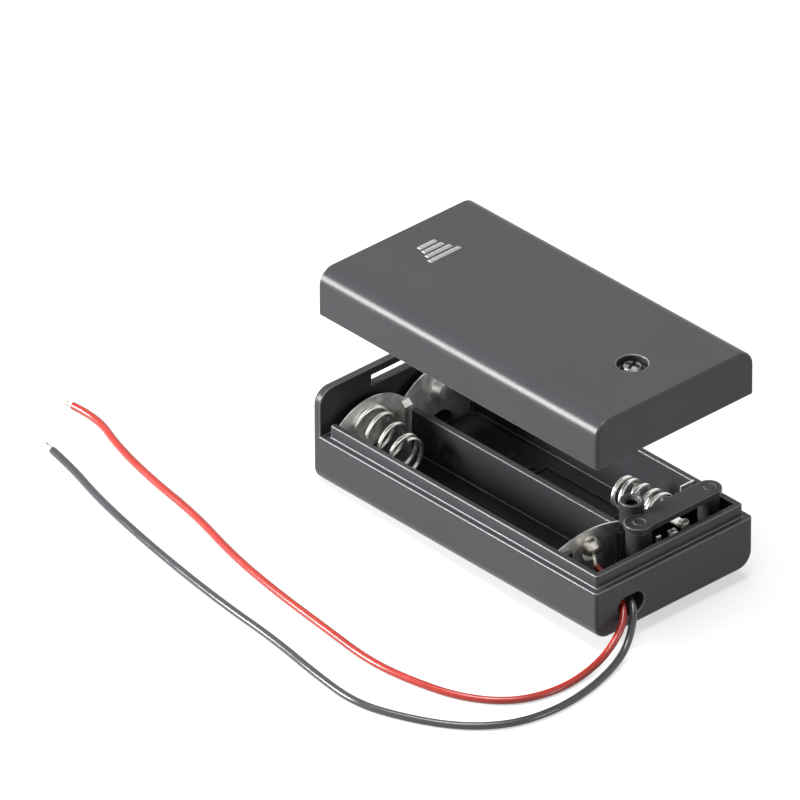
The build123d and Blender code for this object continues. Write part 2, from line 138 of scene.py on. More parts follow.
def varied_value(tree, place, low, high, scale):
    """Number that wanders between two values; scale is in patches per metre."""
    patches = add(tree, "ShaderNodeTexNoise", {"Scale": scale, "Detail": PATCH_DETAIL}, {"Vector": place})
    span = add(tree, "ShaderNodeMapRange", {"From Min": 0.3, "From Max": 0.7, "To Min": low, "To Max": high},
               {"Value": patches.outputs["Fac"]})
    return span.outputs["Result"]


# A grained moulding gives back less of the mirror light than a polished one, which is 0.5
GRAINED_GLOSS = 0.18
ABS_IOR = 1.54
# The real grain is about 0.05 mm across; it is drawn coarser so that it shows in the render
ABS_GRAIN = 0.35
ABS_GRAIN_DEPTH = 0.02


def moulded_abs(name, base, roughness):
    """Black ABS from a spark-eroded mould: a fine even grain breaks up the gloss into a satin."""
    material, tree = new_material(name)
    place = add(tree, "ShaderNodeTexCoord").outputs["Object"]
    colour = shaded(tree, place, base, grain(14), 0.05)
    rough = varied_value(tree, place, roughness - 0.01, roughness + 0.015, grain(9))
    pits = add(tree, "ShaderNodeTexNoise", {"Scale": grain(ABS_GRAIN), "Detail": 2.0}, {"Vector": place})
    bump = add(tree, "ShaderNodeBump", {"Strength": 0.5, "Distance": ABS_GRAIN_DEPTH * MM},
               {"Height": pits.outputs["Fac"]})
    shader = add(tree, "ShaderNodeBsdfPrincipled",
                 {"IOR": ABS_IOR, "Metallic": 0.0, "Specular IOR Level": GRAINED_GLOSS},
                 {"Base Color": colour, "Roughness": rough, "Normal": bump.outputs["Normal"]})
    finish_material(tree, shader)
    return material


def plated_sheet(base):
    """Nickel-plated rolled steel: bright, with faint rolling lines, shallow dimples and dull spots."""
    material, tree = new_material("nickel_plated_sheet")
    place = add(tree, "ShaderNodeTexCoord").outputs["Object"]
    stretched = add(tree, "ShaderNodeMapping", {"Scale": (0.25, 0.12, 1.0)}, {"Vector": place})
    lines = add(tree, "ShaderNodeTexNoise", {"Scale": grain(0.3), "Detail": 3.0},
                {"Vector": stretched.outputs["Vector"]})
    dimples = add(tree, "ShaderNodeTexNoise", {"Scale": grain(1.8), "Detail": 1.0}, {"Vector": place})
    drawn = add(tree, "ShaderNodeBump", {"Strength": 0.25, "Distance": 0.01 * MM},
                {"Height": lines.outputs["Fac"]})
    bump = add(tree, "ShaderNodeBump", {"Strength": 0.35, "Distance": 0.08 * MM},
               {"Height": dimples.outputs["Fac"], "Normal": drawn.outputs["Normal"]})
    colour = shaded(tree, place, base, grain(3))
    rough = varied_value(tree, place, 0.36, 0.54, grain(1.6))
    shader = add(tree, "ShaderNodeBsdfPrincipled", {"Metallic": 1.0},
                 {"Base Color": colour, "Roughness": rough, "Normal": bump.outputs["Normal"]})
    finish_material(tree, shader)
    return material


def plated_wire(base):
    """Nickel-plated music wire: nearly mirror bright, with slight draw marks."""
    material, tree = new_material("nickel_plated_wire")
    place = add(tree, "ShaderNodeTexCoord").outputs["Object"]
    colour = shaded(tree, place, base, grain(1.5))
    rough = varied_value(tree, place, 0.26, 0.42, grain(0.8))
    shader = add(tree, "ShaderNodeBsdfPrincipled", {"Metallic": 1.0},
                 {"Base Color": colour, "Roughness": rough})
    finish_material(tree, shader)
    return material


def tin_solder():
    """Hand-laid tin solder: soft bright lumps with a warm film of flux in the hollows."""
    material, tree = new_material("tin_solder")
    place = add(tree, "ShaderNodeTexCoord").outputs["Object"]
    colour = varied_colour(tree, place, "b4b0a5", "dcd9d1", grain(0.9), low=0.4, high=0.6)
    rough = varied_value(tree, place, 0.34, 0.48, grain(0.6))
    waves = add(tree, "ShaderNodeTexNoise", {"Scale": grain(0.5), "Detail": 1.0}, {"Vector": place})
    bump = add(tree, "ShaderNodeBump", {"Strength": 0.4, "Distance": 0.05 * MM},
               {"Height": waves.outputs["Fac"]})
    shader = add(tree, "ShaderNodeBsdfPrincipled", {"Metallic": 1.0},
                 {"Base Color": colour, "Roughness": rough, "Normal": bump.outputs["Normal"]})
    finish_material(tree, shader)
    return material


PVC_IOR = 1.53
PHENOLIC_IOR = 1.6


def pvc_insulation(name, base, roughness):
    """Extruded PVC insulation: smooth and glossy, with faint bands from drawing and handling."""
    material, tree = new_material(name)
    place = add(tree, "ShaderNodeTexCoord").outputs["Object"]
    colour = shaded(tree, place, base, grain(9))
    rough = varied_value(tree, place, roughness - 0.05, roughness + 0.06, grain(2))
    bands = add(tree, "ShaderNodeTexNoise", {"Scale": grain(0.8), "Detail": 2.0}, {"Vector": place})
    bump = add(tree, "ShaderNodeBump", {"Strength": 0.15, "Distance": 0.02 * MM},
               {"Height": bands.outputs["Fac"]})
    shader = add(tree, "ShaderNodeBsdfPrincipled", {"IOR": PVC_IOR},
                 {"Base Color": colour, "Roughness": rough, "Normal": bump.outputs["Normal"]})
    finish_material(tree, shader)
    return material


def small_steel(name, dull, bright):
    """Tumble-plated small steel part: bright zinc on the screw, and on the switch frame a dark colour that
    paints the shade in the knob's slot.
    """
    material, tree = new_material(name)
    place = add(tree, "ShaderNodeTexCoord").outputs["Object"]
    colour = varied_colour(tree, place, dull, bright, grain(0.9), low=0.35, high=0.7)
    rough = varied_value(tree, place, 0.22, 0.38, grain(0.7))
    shader = add(tree, "ShaderNodeBsdfPrincipled", {"Metallic": 1.0},
                 {"Base Color": colour, "Roughness": rough})
    finish_material(tree, shader)
    return material


def pressed_laminate():
    """Phenolic paper laminate of the switch: brown, with faint paper layers."""
    material, tree = new_material("phenolic_laminate")
    place = add(tree, "ShaderNodeTexCoord").outputs["Object"]
    layers = add(tree, "ShaderNodeMapping", {"Scale": (0.2, 0.2, 1.0)}, {"Vector": place})
    colour = varied_colour(tree, layers.outputs["Vector"], "5d3a1c", "7d532b", grain(0.3))
    shader = add(tree, "ShaderNodeBsdfPrincipled", {"Roughness": 0.5, "IOR": PHENOLIC_IOR},
                 {"Base Color": colour})
    finish_material(tree, shader)
    return material


materials = {}


def make_materials(colours):
    """Every finish on the holder, under the key that the steps use."""
    materials["case"] = moulded_abs("moulded_black_abs", colours.case, 0.3)
    # The eased edges' lighter colour is a painted highlight along the mouldings' sharp edges
    materials["edge"] = moulded_abs("painted_edge_highlight_abs", colours.edge, 0.24)
    materials["marks"] = moulded_abs("raised_mark_abs", colours.mark, 0.3)
    # The grip bars' pale colour is a painted highlight on the lid's bars
    materials["grip"] = moulded_abs("polished_grip_abs", colours.grip, 0.25)
    materials["knob"] = moulded_abs("switch_knob_abs", colours.knob, 0.4)
    materials["sheet"] = plated_sheet(colours.plating)
    materials["wire"] = plated_wire(colours.plating)
    materials["solder"] = tin_solder()
    materials["screw"] = small_steel("zinc_plated_steel", "5c5d5f", "a2a3a1")
    # The switch frame's dark colour is painted shade in the knob's slot
    materials["frame"] = small_steel("painted_slot_shade_steel", "2b2c2e", "434446")
    materials["board"] = pressed_laminate()
    materials["red"] = pvc_insulation("red_pvc", colours.red_lead, 0.24)
    materials["black"] = pvc_insulation("black_pvc", colours.black_lead, 0.2)


def paint(obj, material):
    """Gives an object one material."""
    obj.data.materials.clear()
    obj.data.materials.append(material)


def smooth(mesh, degrees_limit):
    """Smooth shading with edges over the limit kept sharp."""
    mesh.shade_smooth()
    mesh.set_sharp_from_angle(angle=math.radians(degrees_limit))


def link_object(name, data):
    """Object in the scene at the origin."""
    obj = bpy.data.objects.new(name, data)
    bpy.context.scene.collection.objects.link(obj)
    return obj


def plain_mesh(obj, name):
    """Turns an object with live modifiers or a curve into a plain mesh object at the origin."""
    bpy.context.view_layer.update()
    evaluated = obj.evaluated_get(bpy.context.evaluated_depsgraph_get())
    mesh = bpy.data.meshes.new_from_object(evaluated)
    mesh.transform(obj.matrix_world)
    bpy.data.objects.remove(obj)
    mesh.name = name
    return link_object(name, mesh)


# Limits for easing a moulding: corners to merge, flat faces to join, edges to ease and edges kept sharp
MERGE_DISTANCE = 0.002 * MM
FLAT_DEGREES = 0.5
EASED_DEGREES = 38
SHARP_DEGREES = 35
# Slot of the lighter finish that paints a highlight along the eased edges
EDGE_HIGHLIGHT_SLOT = 1
# Slot of the pale finish that paints the grip bars' highlight
GRIP_HIGHLIGHT_SLOT = 2


def eased_copy(node, name, width, body, material):
    """Copy of a moulded CAD node with its sharp edges eased as a mould leaves them; the eased faces take a
    lighter finish that paints their highlight.
    """
    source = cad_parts[node]
    mesh = source.data.copy()
    work = bmesh.new()
    work.from_mesh(mesh)
    bmesh.ops.remove_doubles(work, verts=work.verts, dist=MERGE_DISTANCE)
    bmesh.ops.dissolve_limit(work, angle_limit=math.radians(FLAT_DEGREES), verts=work.verts,
                             edges=work.edges)
    work.to_mesh(mesh)
    work.free()
    mesh.materials.clear()
    for finish in (material, materials["edge"], materials["grip"]):
        mesh.materials.append(finish)
    obj = link_object(name + "_work", mesh)
    bevel = obj.modifiers.new("eased_edges", "BEVEL")
    bevel.width = width
    bevel.segments = 2
    bevel.limit_method = "ANGLE"
    bevel.angle_limit = math.radians(EASED_DEGREES)
    bevel.use_clamp_overlap = False
    # The eased faces get the lighter finish of the painted edge highlight
    bevel.material = EDGE_HIGHLIGHT_SLOT
    weighted = obj.modifiers.new("flat_faces_first", "WEIGHTED_NORMAL")
    weighted.keep_sharp = True
    smooth(mesh, SHARP_DEGREES)
    obj = plain_mesh(obj, name)
    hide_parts(node)
    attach(obj, body)
    return obj


class HolderSizes(bpy.types.PropertyGroup):
    """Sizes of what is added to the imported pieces."""
    edge_ease: bpy.props.FloatProperty(
        name="Eased edges", description="Width of the eased edges of the mouldings",
        default=0.17 * MM, min=0.0, max=0.4 * MM, unit="LENGTH", precision=5)
    wire: bpy.props.FloatProperty(
        name="Spring wire", description="Diameter of the springs' wire",
        default=0.75 * MM, min=0.3 * MM, max=1.2 * MM, unit="LENGTH", precision=5)
    lead: bpy.props.FloatProperty(
        name="Lead", description="Diameter of the leads over their insulation",
        default=1.3 * MM, min=0.8 * MM, max=2.0 * MM, unit="LENGTH", precision=5)
    strand: bpy.props.FloatProperty(
        name="Strand", description="Diameter of one strand of a lead's core",
        default=0.26 * MM, min=0.1 * MM, max=0.4 * MM, unit="LENGTH", precision=5)
    mark_height: bpy.props.FloatProperty(
        name="Mark height", description="How far the polarity marks stand up from the floor",
        default=0.25 * MM, min=0.05 * MM, max=0.6 * MM, unit="LENGTH", precision=5)
    thread_pitch: bpy.props.FloatProperty(
        name="Thread pitch", description="Pitch of the lid screw's thread",
        default=0.8 * MM, min=0.3 * MM, max=1.5 * MM, unit="LENGTH", precision=5)


def colour_of(label, text, hex_colour):
    """Colour property whose default is an sRGB hex value."""
    return bpy.props.FloatVectorProperty(name=label, description=text, subtype="COLOR", size=3, min=0.0,
                                         max=1.0, default=linear(hex_colour)[:3])


class HolderColours(bpy.types.PropertyGroup):
    """Colours of the finishes."""
    case: colour_of("Case", "Moulded tray and lid", "37383a")
    # Lighter colour of the eased edges: a painted highlight
    edge: colour_of("Rubbed edges", "Edges of the mouldings, polished by the tool and by handling", "6a6b6e")
    mark: colour_of("Marks", "Raised polarity marks and legend", "505153")
    # Pale colour of the grip bars: a painted highlight
    grip: colour_of("Grip bars", "Rubbed bars on the lid", "a8a9ab")
    knob: colour_of("Knob", "Switch knob", "2c2d2f")
    plating: colour_of("Plating", "Nickel on contacts and springs", "f0efeb")
    red_lead: colour_of("Red lead", "Insulation of the positive lead", "9c281e")
    black_lead: colour_of("Black lead", "Insulation of the negative lead", "38393c")


# How far the grip bars stand above the lid's flat top, and how much of that counts as the bars' sides; faces
# above that height get the pale colour that paints the bars' highlight
GRIP_HEIGHT = 0.3 * MM
GRIP_MARGIN = 0.02 * MM
# The knob's edges are eased less than the mouldings', because its ridges are fine
KNOB_EASE_SHARE = 0.7


class CaseOperator(bpy.types.Operator):
    """Eased mouldings of the tray, the lid and the switch knob"""
    bl_idname = "holder.case"
    bl_label = "Case"

    def execute(self, context):
        """Copies the mouldings with eased edges and paints them."""
        ease = context.scene.holder_sizes.edge_ease
        eased_copy("base_case", "tray_moulding", ease, "tray", materials["case"])
        lid = eased_copy("lid", "lid_moulding", ease, "lid", materials["case"])
        # The bars' faces get the pale colour of the painted highlight
        for face in lid.data.polygons:
            if face.center.z > lid_top - GRIP_HEIGHT + GRIP_MARGIN:
                face.material_index = GRIP_HIGHLIGHT_SLOT
        eased_copy("switch_slider", "switch_knob", ease * KNOB_EASE_SHARE, "switch_knob",
                   materials["knob"])
        eased_copy("switch_strap", "strap_moulding", ease, "tray", materials["case"])
        return {"FINISHED"}


class MetalOperator(bpy.types.Operator):
    """Contact sheets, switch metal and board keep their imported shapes"""
    bl_idname = "holder.metal"
    bl_label = "Contacts and switch"

    def execute(self, context):
        """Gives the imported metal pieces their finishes."""
        finishes = {"sheet": ["link_plate", "positive_plate", "spring_plate", "switch_contact",
                              "switch_terminal_1", "switch_terminal_2", "switch_terminal_3"],
                    # The switch frame gets the dark colour that paints the slot's shade
                    "frame": ["switch_frame"],
                    "board": ["switch_board"],
                    "screw": ["lid_screw"]}
        for finish, nodes in finishes.items():
            for node in nodes:
                paint(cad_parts[node], materials[finish])
        return {"FINISHED"}


# Springs in millimetres: turns, length, radii at the plate and at the free end, sag of the free end
NEAR_SPRING = {"node": "near_spring", "turns": 4.25, "length": 9.6, "radii": (4.0, 3.5), "sag": 1.7,
               "place": (-31.05, -8.075, 7.65), "side": 1, "material": "wire"}
FAR_SPRING = {"node": "far_spring", "turns": 4.6, "length": 9.6, "radii": (3.3, 2.7), "sag": 0.0,
              "place": (22.55, 8.075, 8.65), "side": -1, "material": "wire"}
# How far a spring's flat half turn is pressed into its plate
WIRE_SINK = 0.06
# Turns that lie flat at the plate, turns that are closed at the free end, and their pitch in wires
FLAT_TURNS = 0.5
CLOSED_TURNS = 1.0
CLOSED_PITCH = 1.15
# The free end sags more and more towards its tip
SAG_POWER = 1.5
COIL_POINTS = 140
WIRE_SIDES = 16
ROUND_DEGREES = 50


def new_group(name, inputs):
    """Geometry group with these inputs and a material: the group, its input keys and its sockets."""
    group = bpy.data.node_groups.new(name, "GeometryNodeTree")
    keys = {}
    for label, kind, default in inputs:
        socket = group.interface.new_socket(name=label, in_out="INPUT", socket_type=kind)
        socket.default_value = default
        keys[label] = socket.identifier
    keys["Material"] = group.interface.new_socket(name="Material", in_out="INPUT",
                                                  socket_type="NodeSocketMaterial").identifier
    group.interface.new_socket(name="Geometry", in_out="OUTPUT", socket_type="NodeSocketGeometry")
    return group, keys, group.nodes.new("NodeGroupInput").outputs


def finish_group(group, path, diameter, sides, material):
    """Lays a closed round tube along the group's path, paints it and gives it out."""
    ring = add(group, "GeometryNodeCurvePrimitiveCircle", {"Resolution": sides},
               {"Radius": sums(group, "MULTIPLY", diameter, 0.5)})
    tube = add(group, "GeometryNodeCurveToMesh", {"Fill Caps": True},
               {"Curve": path, "Profile Curve": ring.outputs["Curve"]})
    real = add(group, "GeometryNodeRealizeInstances", links={"Geometry": tube.outputs["Mesh"]})
    dressed = add(group, "GeometryNodeSetMaterial",
                  links={"Geometry": real.outputs["Geometry"], "Material": material})
    out = group.nodes.new("NodeGroupOutput")
    group.links.new(dressed.outputs["Geometry"], out.inputs[0])


def sums(tree, kind, *values):
    """Chain of one math operation over numbers and sockets."""
    result = values[0]
    for value in values[1:]:
        node = tree.nodes.new("ShaderNodeMath")
        node.operation = kind
        for slot, item in ((0, result), (1, value)):
            if isinstance(item, (int, float)):
                node.inputs[slot].default_value = item
            else:
                tree.links.new(item, node.inputs[slot])
        result = node.outputs["Value"]
    return result


def around(group, turn, radius):
    """Both coordinates of a point on a circle, by its turns and its radius."""
    angle = sums(group, "MULTIPLY", turn, 2 * math.pi)
    shares = [add(group, "ShaderNodeMath", {"operation": kind}, {0: angle}).outputs["Value"]
              for kind in ("COSINE", "SINE")]
    return [sums(group, "MULTIPLY", radius, share) for share in shares]


node_groups = {}


def shared_group(name, build):
    """Node group and its input keys, built the first time they are asked for."""
    if name not in node_groups:
        node_groups[name] = build()
    return node_groups[name]


def coil_group():
    """Node group of a coil spring along +X: first half turn flat, last turn closed, free end sagging."""
    numbers = (("Turns", 4.0), ("Length", 10 * MM), ("Start Radius", 4 * MM), ("End Radius", 3 * MM),
               ("Wire", 0.7 * MM), ("Sag", 0.0))
    group, keys, given = new_group("coil_spring",
                                   [(name, "NodeSocketFloat", default) for name, default in numbers])
    line = add(group, "GeometryNodeCurvePrimitiveLine", {"Start": (0, 0, 0), "End": (1, 0, 0)})
    cut = add(group, "GeometryNodeResampleCurve", {"Count": COIL_POINTS}, {"Curve": line.outputs["Curve"]})
    share = add(group, "GeometryNodeSplineParameter").outputs["Factor"]
    turn = sums(group, "MULTIPLY", share, given["Turns"])
    closed_pitch = sums(group, "MULTIPLY", given["Wire"], CLOSED_PITCH)
    reach = sums(group, "SUBTRACT", given["Length"], given["Wire"])
    open_turns = sums(group, "SUBTRACT", given["Turns"], FLAT_TURNS + CLOSED_TURNS)
    open_reach = sums(group, "SUBTRACT", reach, sums(group, "MULTIPLY", closed_pitch, CLOSED_TURNS))
    pitch = sums(group, "DIVIDE", open_reach, open_turns)
    opened = sums(group, "MINIMUM", sums(group, "MAXIMUM", sums(group, "SUBTRACT", turn, FLAT_TURNS), 0.0),
                  open_turns)
    closed = sums(group, "MAXIMUM",
                  sums(group, "ADD", sums(group, "SUBTRACT", turn, given["Turns"]), CLOSED_TURNS), 0.0)
    along = sums(group, "ADD", sums(group, "MULTIPLY", pitch, opened),
                 sums(group, "MULTIPLY", closed_pitch, closed))
    far = sums(group, "DIVIDE", along, reach)
    change = sums(group, "SUBTRACT", given["End Radius"], given["Start Radius"])
    radius = sums(group, "ADD", given["Start Radius"], sums(group, "MULTIPLY", change, far))
    across, up = around(group, turn, radius)
    drop = sums(group, "MULTIPLY", given["Sag"], sums(group, "POWER", far, SAG_POWER))
    place = add(group, "ShaderNodeCombineXYZ", links={
        "X": sums(group, "ADD", along, sums(group, "MULTIPLY", given["Wire"], 0.5)),
        "Y": across,
        "Z": sums(group, "SUBTRACT", up, drop)})
    wound = add(group, "GeometryNodeSetPosition",
                links={"Geometry": cut.outputs["Curve"], "Position": place.outputs["Vector"]})
    finish_group(group, wound.outputs["Geometry"], given["Wire"], WIRE_SIDES, given["Material"])
    return group, keys


def wind(group, keys, spring, wire, place):
    """One coil wound by the coil group, as a plain mesh at its place."""
    obj = link_object(spring["node"] + "_work", bpy.data.meshes.new(spring["node"]))
    live = obj.modifiers.new("coil", "NODES")
    live.node_group = group
    live[keys["Turns"]] = spring["turns"]
    live[keys["Length"]] = spring["length"] * MM
    live[keys["Start Radius"]] = spring["radii"][0] * MM
    live[keys["End Radius"]] = spring["radii"][1] * MM
    live[keys["Wire"]] = wire
    live[keys["Sag"]] = spring["sag"] * MM
    live[keys["Material"]] = materials[spring["material"]]
    obj.matrix_world = place
    obj = plain_mesh(obj, spring["node"] + "_coil")
    smooth(obj.data, ROUND_DEGREES)
    return obj


# Screw in millimetres: shank, head, thread's ridge, how deep it sits in the shank, plain ends
SCREW_RADIUS = 1.0
SCREW_HEAD = 1.5
THREAD_RIDGE = 0.3
THREAD_SINK = 0.02
THREAD_RUNOUT = 1.2


class ThreadOperator(bpy.types.Operator):
    """Thread of the lid's screw"""
    bl_idname = "holder.thread"
    bl_label = "Screw thread"

    def execute(self, context):
        """Winds one ridge down the screw's shank."""
        pitch = context.scene.holder_sizes.thread_pitch
        radius = SCREW_RADIUS - THREAD_SINK
        top = screw_high.z / MM - SCREW_HEAD - THREAD_RUNOUT
        bottom = screw_low.z / MM + THREAD_RUNOUT
        turns = (top - bottom) * MM / pitch + FLAT_TURNS
        thread = {"node": "lid_screw", "turns": turns, "length": top - bottom, "radii": (radius, radius),
                  "sag": 0.0, "material": "screw"}
        group, keys = shared_group("coil", coil_group)
        middle = (screw_low + screw_high) / 2
        place = Matrix.Translation((middle.x, middle.y, top * MM))
        obj = wind(group, keys, thread, THREAD_RIDGE * MM, place @ Matrix.Rotation(math.pi / 2, 4, "Y"))
        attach(obj, "screw")
        return {"FINISHED"}


class SpringOperator(bpy.types.Operator):
    """Round-wire coil springs of both bays"""
    bl_idname = "holder.springs"
    bl_label = "Springs"

    def execute(self, context):
        """Winds both springs."""
        wire = context.scene.holder_sizes.wire
        group, keys = shared_group("coil", coil_group)
        for spring in (NEAR_SPRING, FAR_SPRING):
            turn = Matrix.Rotation(0.0 if spring["side"] > 0 else math.pi, 4, "Z")
            sunk = Matrix.Translation(Vector((-WIRE_SINK * MM, 0, 0)))
            place = Matrix.Translation(Vector(spring["place"]) * MM) @ turn @ sunk
            obj = wind(group, keys, spring, wire, place)
            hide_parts(spring["node"])
            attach(obj, "tray")
        return {"FINISHED"}


# Radius in millimetres at which a lead rests on the table
LEAD_RADIUS = 0.65


def laid(x, y):
    """Point on the centreline of a lead that lies on the table, in millimetres."""
    return (x, y, table(x * MM) / MM + LEAD_RADIUS)


# Centrelines of the leads in millimetres, from their soldered ends outwards
RED_ROUTE = (
    (26.6, -10.4, 8.2), (30.2, -9.6, 5.6), (35.5, -11.9, 3.1), (36.7, -16.6, -0.7),
    laid(38.0, -23.5), laid(38.3, -31.0), laid(35.8, -38.2), laid(29.6, -43.4), laid(21.5, -46.1),
    laid(12.0, -47.7), laid(0.0, -46.6), laid(-13.0, -45.5), laid(-26.0, -43.6), laid(-39.0, -40.2),
    laid(-52.0, -38.5), laid(-63.0, -36.1), laid(-71.5, -32.9), laid(-77.1, -33.6),
)
BLACK_ROUTE = (
    (30.6, 2.6, 8.4), (31.3, -1.2, 7.7), (30.7, -5.2, 6.5), (31.9, -8.9, 5.0), (35.7, -10.1, 3.8),
    (37.7, -13.7, -0.9),
    laid(39.7, -19.2), laid(41.7, -26.5), laid(42.3, -34.5), laid(40.7, -42.4), laid(35.8, -49.2),
    laid(28.2, -54.2), laid(19.4, -57.7), laid(9.0, -56.9), laid(-3.0, -55.2), laid(-16.0, -54.5),
    laid(-29.0, -53.1), laid(-42.0, -51.2), laid(-54.0, -48.9), laid(-63.0, -46.3), laid(-69.2, -45.2),
)
# Real lengths of the leads in metres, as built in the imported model
RED_LENGTH = 0.1552
BLACK_LENGTH = 0.1678

# Bare core of a lead: how far it reaches back into the insulation and out of it, in millimetres
CORE_SINK = 0.3
CORE_LENGTH = 2.6
STRANDS = 6
STRAND_TWIST = 0.9
STRAND_POINTS = 15
STRAND_SIDES = 10
# The strands fan out by this share at the tip, mostly near its end
STRAND_SPLAY = 0.25
SPLAY_POWER = 3.0


def lead_curve(name, route, diameter):
    """Insulated lead on one smooth line through the air and along the table."""
    curve = bpy.data.curves.new(name, "CURVE")
    curve.dimensions = "3D"
    curve.bevel_depth = diameter / 2
    curve.bevel_resolution = 4
    curve.resolution_u = 16
    curve.use_fill_caps = True
    line = curve.splines.new("NURBS")
    line.points.add(len(route) - 1)
    for target, point in zip(line.points, route):
        target.co = (*(Vector(point) * MM), 1.0)
    line.order_u = 3
    line.use_endpoint_u = True
    return link_object(name, curve)


def strand_group():
    """Node group of a core along +Z: a middle strand and a ring of strands twisted round it."""
    group, keys, given = new_group("twisted_strands", (
        ("Length", "NodeSocketFloat", 2 * MM), ("Strand", "NodeSocketFloat", 0.25 * MM),
        ("Count", "NodeSocketInt", STRANDS), ("Twist", "NodeSocketFloat", STRAND_TWIST)))
    tip = add(group, "ShaderNodeCombineXYZ", links={"Z": given["Length"]})
    line = add(group, "GeometryNodeCurvePrimitiveLine", {"Start": (0, 0, 0)}, {"End": tip.outputs["Vector"]})
    cut = add(group, "GeometryNodeResampleCurve", {"Count": STRAND_POINTS}, {"Curve": line.outputs["Curve"]})
    ring = add(group, "GeometryNodeDuplicateElements", {"domain": "SPLINE"},
               {"Geometry": cut.outputs["Curve"], "Amount": given["Count"]})
    share = add(group, "GeometryNodeSplineParameter").outputs["Factor"]
    turn = sums(group, "ADD", sums(group, "DIVIDE", ring.outputs["Duplicate Index"], given["Count"]),
                sums(group, "MULTIPLY", share, given["Twist"]))
    fan = sums(group, "MULTIPLY", sums(group, "POWER", share, SPLAY_POWER), STRAND_SPLAY)
    reach = sums(group, "MULTIPLY", given["Strand"], sums(group, "ADD", fan, 1.0))
    x, y = around(group, turn, reach)
    offset = add(group, "ShaderNodeCombineXYZ", links={"X": x, "Y": y})
    twisted = add(group, "GeometryNodeSetPosition",
                  links={"Geometry": ring.outputs["Geometry"], "Offset": offset.outputs["Vector"]})
    both = group.nodes.new("GeometryNodeJoinGeometry")
    group.links.new(twisted.outputs["Geometry"], both.inputs[0])
    group.links.new(cut.outputs["Curve"], both.inputs[0])
    finish_group(group, both.outputs["Geometry"], given["Strand"], STRAND_SIDES, given["Material"])
    return group, keys


def strand_bundle(name, start, direction, length, strand):
    """Twisted bare strands from a point, as a plain mesh."""
    group, keys = shared_group("strands", strand_group)
    obj = link_object(name + "_work", bpy.data.meshes.new(name))
    live = obj.modifiers.new("strands", "NODES")
    live.node_group = group
    live[keys["Length"]] = length
    live[keys["Strand"]] = strand
    live[keys["Count"]] = STRANDS
    live[keys["Twist"]] = STRAND_TWIST
    live[keys["Material"]] = materials["solder"]
    obj.matrix_world = Matrix.Translation(start) @ direction.to_track_quat("Z", "Y").to_matrix().to_4x4()
    obj = plain_mesh(obj, name)
    smooth(obj.data, ROUND_DEGREES)
    return obj


class LeadOperator(bpy.types.Operator):
    """Red and black leads with their bare ends"""
    bl_idname = "holder.leads"
    bl_label = "Leads"

    def execute(self, context):
        """Lays both leads and their stripped ends."""
        sizes = context.scene.holder_sizes
        for colour, route, length in (("red", RED_ROUTE, RED_LENGTH), ("black", BLACK_ROUTE, BLACK_LENGTH)):
            lead = lead_curve(colour + "_lead_insulation", route, sizes.lead)
            paint(lead, materials[colour])
            end = Vector(route[-1]) * MM
            before = Vector(route[-2]) * MM
            start = end - (end - before).normalized() * CORE_SINK * MM
            tip = strand_bundle(colour + "_lead_strands", start, end - before, CORE_LENGTH * MM, sizes.strand)
            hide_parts(colour + "_lead")
            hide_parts(colour + "_lead_tip")
            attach(lead, "tray")
            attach(tip, "tray")
        return {"FINISHED"}


# Solder in millimetres: piece, node that it replaces, centre, radii, place in the noise, lumps
SOLDER_DROPS = (
    ("positive_joint", "positive_solder", (23.7, -8.9, 10.0), (1.7, 1.8, 1.7), 1.0, 0.04),
    ("negative_joint", "negative_solder", (28.8, 5.0, 8.9), (0.95, 1.0, 0.9), 2.0, 0.16),
    ("tail_joint", "tail_solder", (28.1, 8.0, 9.25), (1.0, 1.05, 0.85), 3.0, 0.16),
)
# Bare cores that lie in the solder: piece, start and end
CORES = (
    ("red_core", RED_ROUTE[0], (24.4, -9.1, 9.8)),
    ("black_core", BLACK_ROUTE[0], (28.9, 4.9, 9.0)),
)
# Noise of the lumps: waves per radius and the way from one drop's place to the next
LUMP_WAVES = 1.4
LUMP_OFFSET = Vector((1.0, 1.7, 0.6))


def blob(name, centre, radii, seed, lumps):
    """Lumpy drop of solder."""
    mesh = bpy.data.meshes.new(name)
    work = bmesh.new()
    bmesh.ops.create_icosphere(work, subdivisions=4, radius=1.0)
    offset = LUMP_OFFSET * seed
    for vertex in work.verts:
        lump = 1 + 2 * lumps * noise.noise(vertex.co * LUMP_WAVES + offset)
        vertex.co = Vector([c * r * lump for c, r in zip(vertex.co, radii)]) * MM + Vector(centre) * MM
    work.to_mesh(mesh)
    work.free()
    obj = link_object(name, mesh)
    mesh.shade_smooth()
    return obj


class SolderOperator(bpy.types.Operator):
    """Solder joints of the contacts and the switch"""
    bl_idname = "holder.solder"
    bl_label = "Solder"

    def execute(self, context):
        """Drops the solder and the bare core ends that lie in it."""
        strand = context.scene.holder_sizes.strand
        for name, node, centre, radii, seed, lumps in SOLDER_DROPS:
            obj = blob(name, centre, radii, seed, lumps)
            paint(obj, materials["solder"])
            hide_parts(node)
            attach(obj, "tray")
        for name, start, end in CORES:
            reach = (Vector(end) - Vector(start)) * MM
            obj = strand_bundle(name, Vector(start) * MM, reach, reach.length, strand)
            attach(obj, "tray")
        return {"FINISHED"}


# Polarity marks on the floors, in millimetres: cell outline, its button, a plus and a minus sign
FLOOR_TOP = 1.4
BAY_Y = 8.075
MARK_MIDDLE = -4.25
MARK_SINK = 0.1
MARK_STROKE = 0.55
CELL_START = -9.3
CELL_END = 10.0
CELL_HALF = 4.05
BUTTON_END = -11.0
BUTTON_HALF = 2.3
SIGN_STROKE = 0.9
PLUS_X = -15.75
PLUS_REACH = 2.9
MINUS_X = 15.0
MINUS_REACH = 2.4
BAY_MARKS = (("far_bay_marks", 1), ("near_bay_marks", -1))

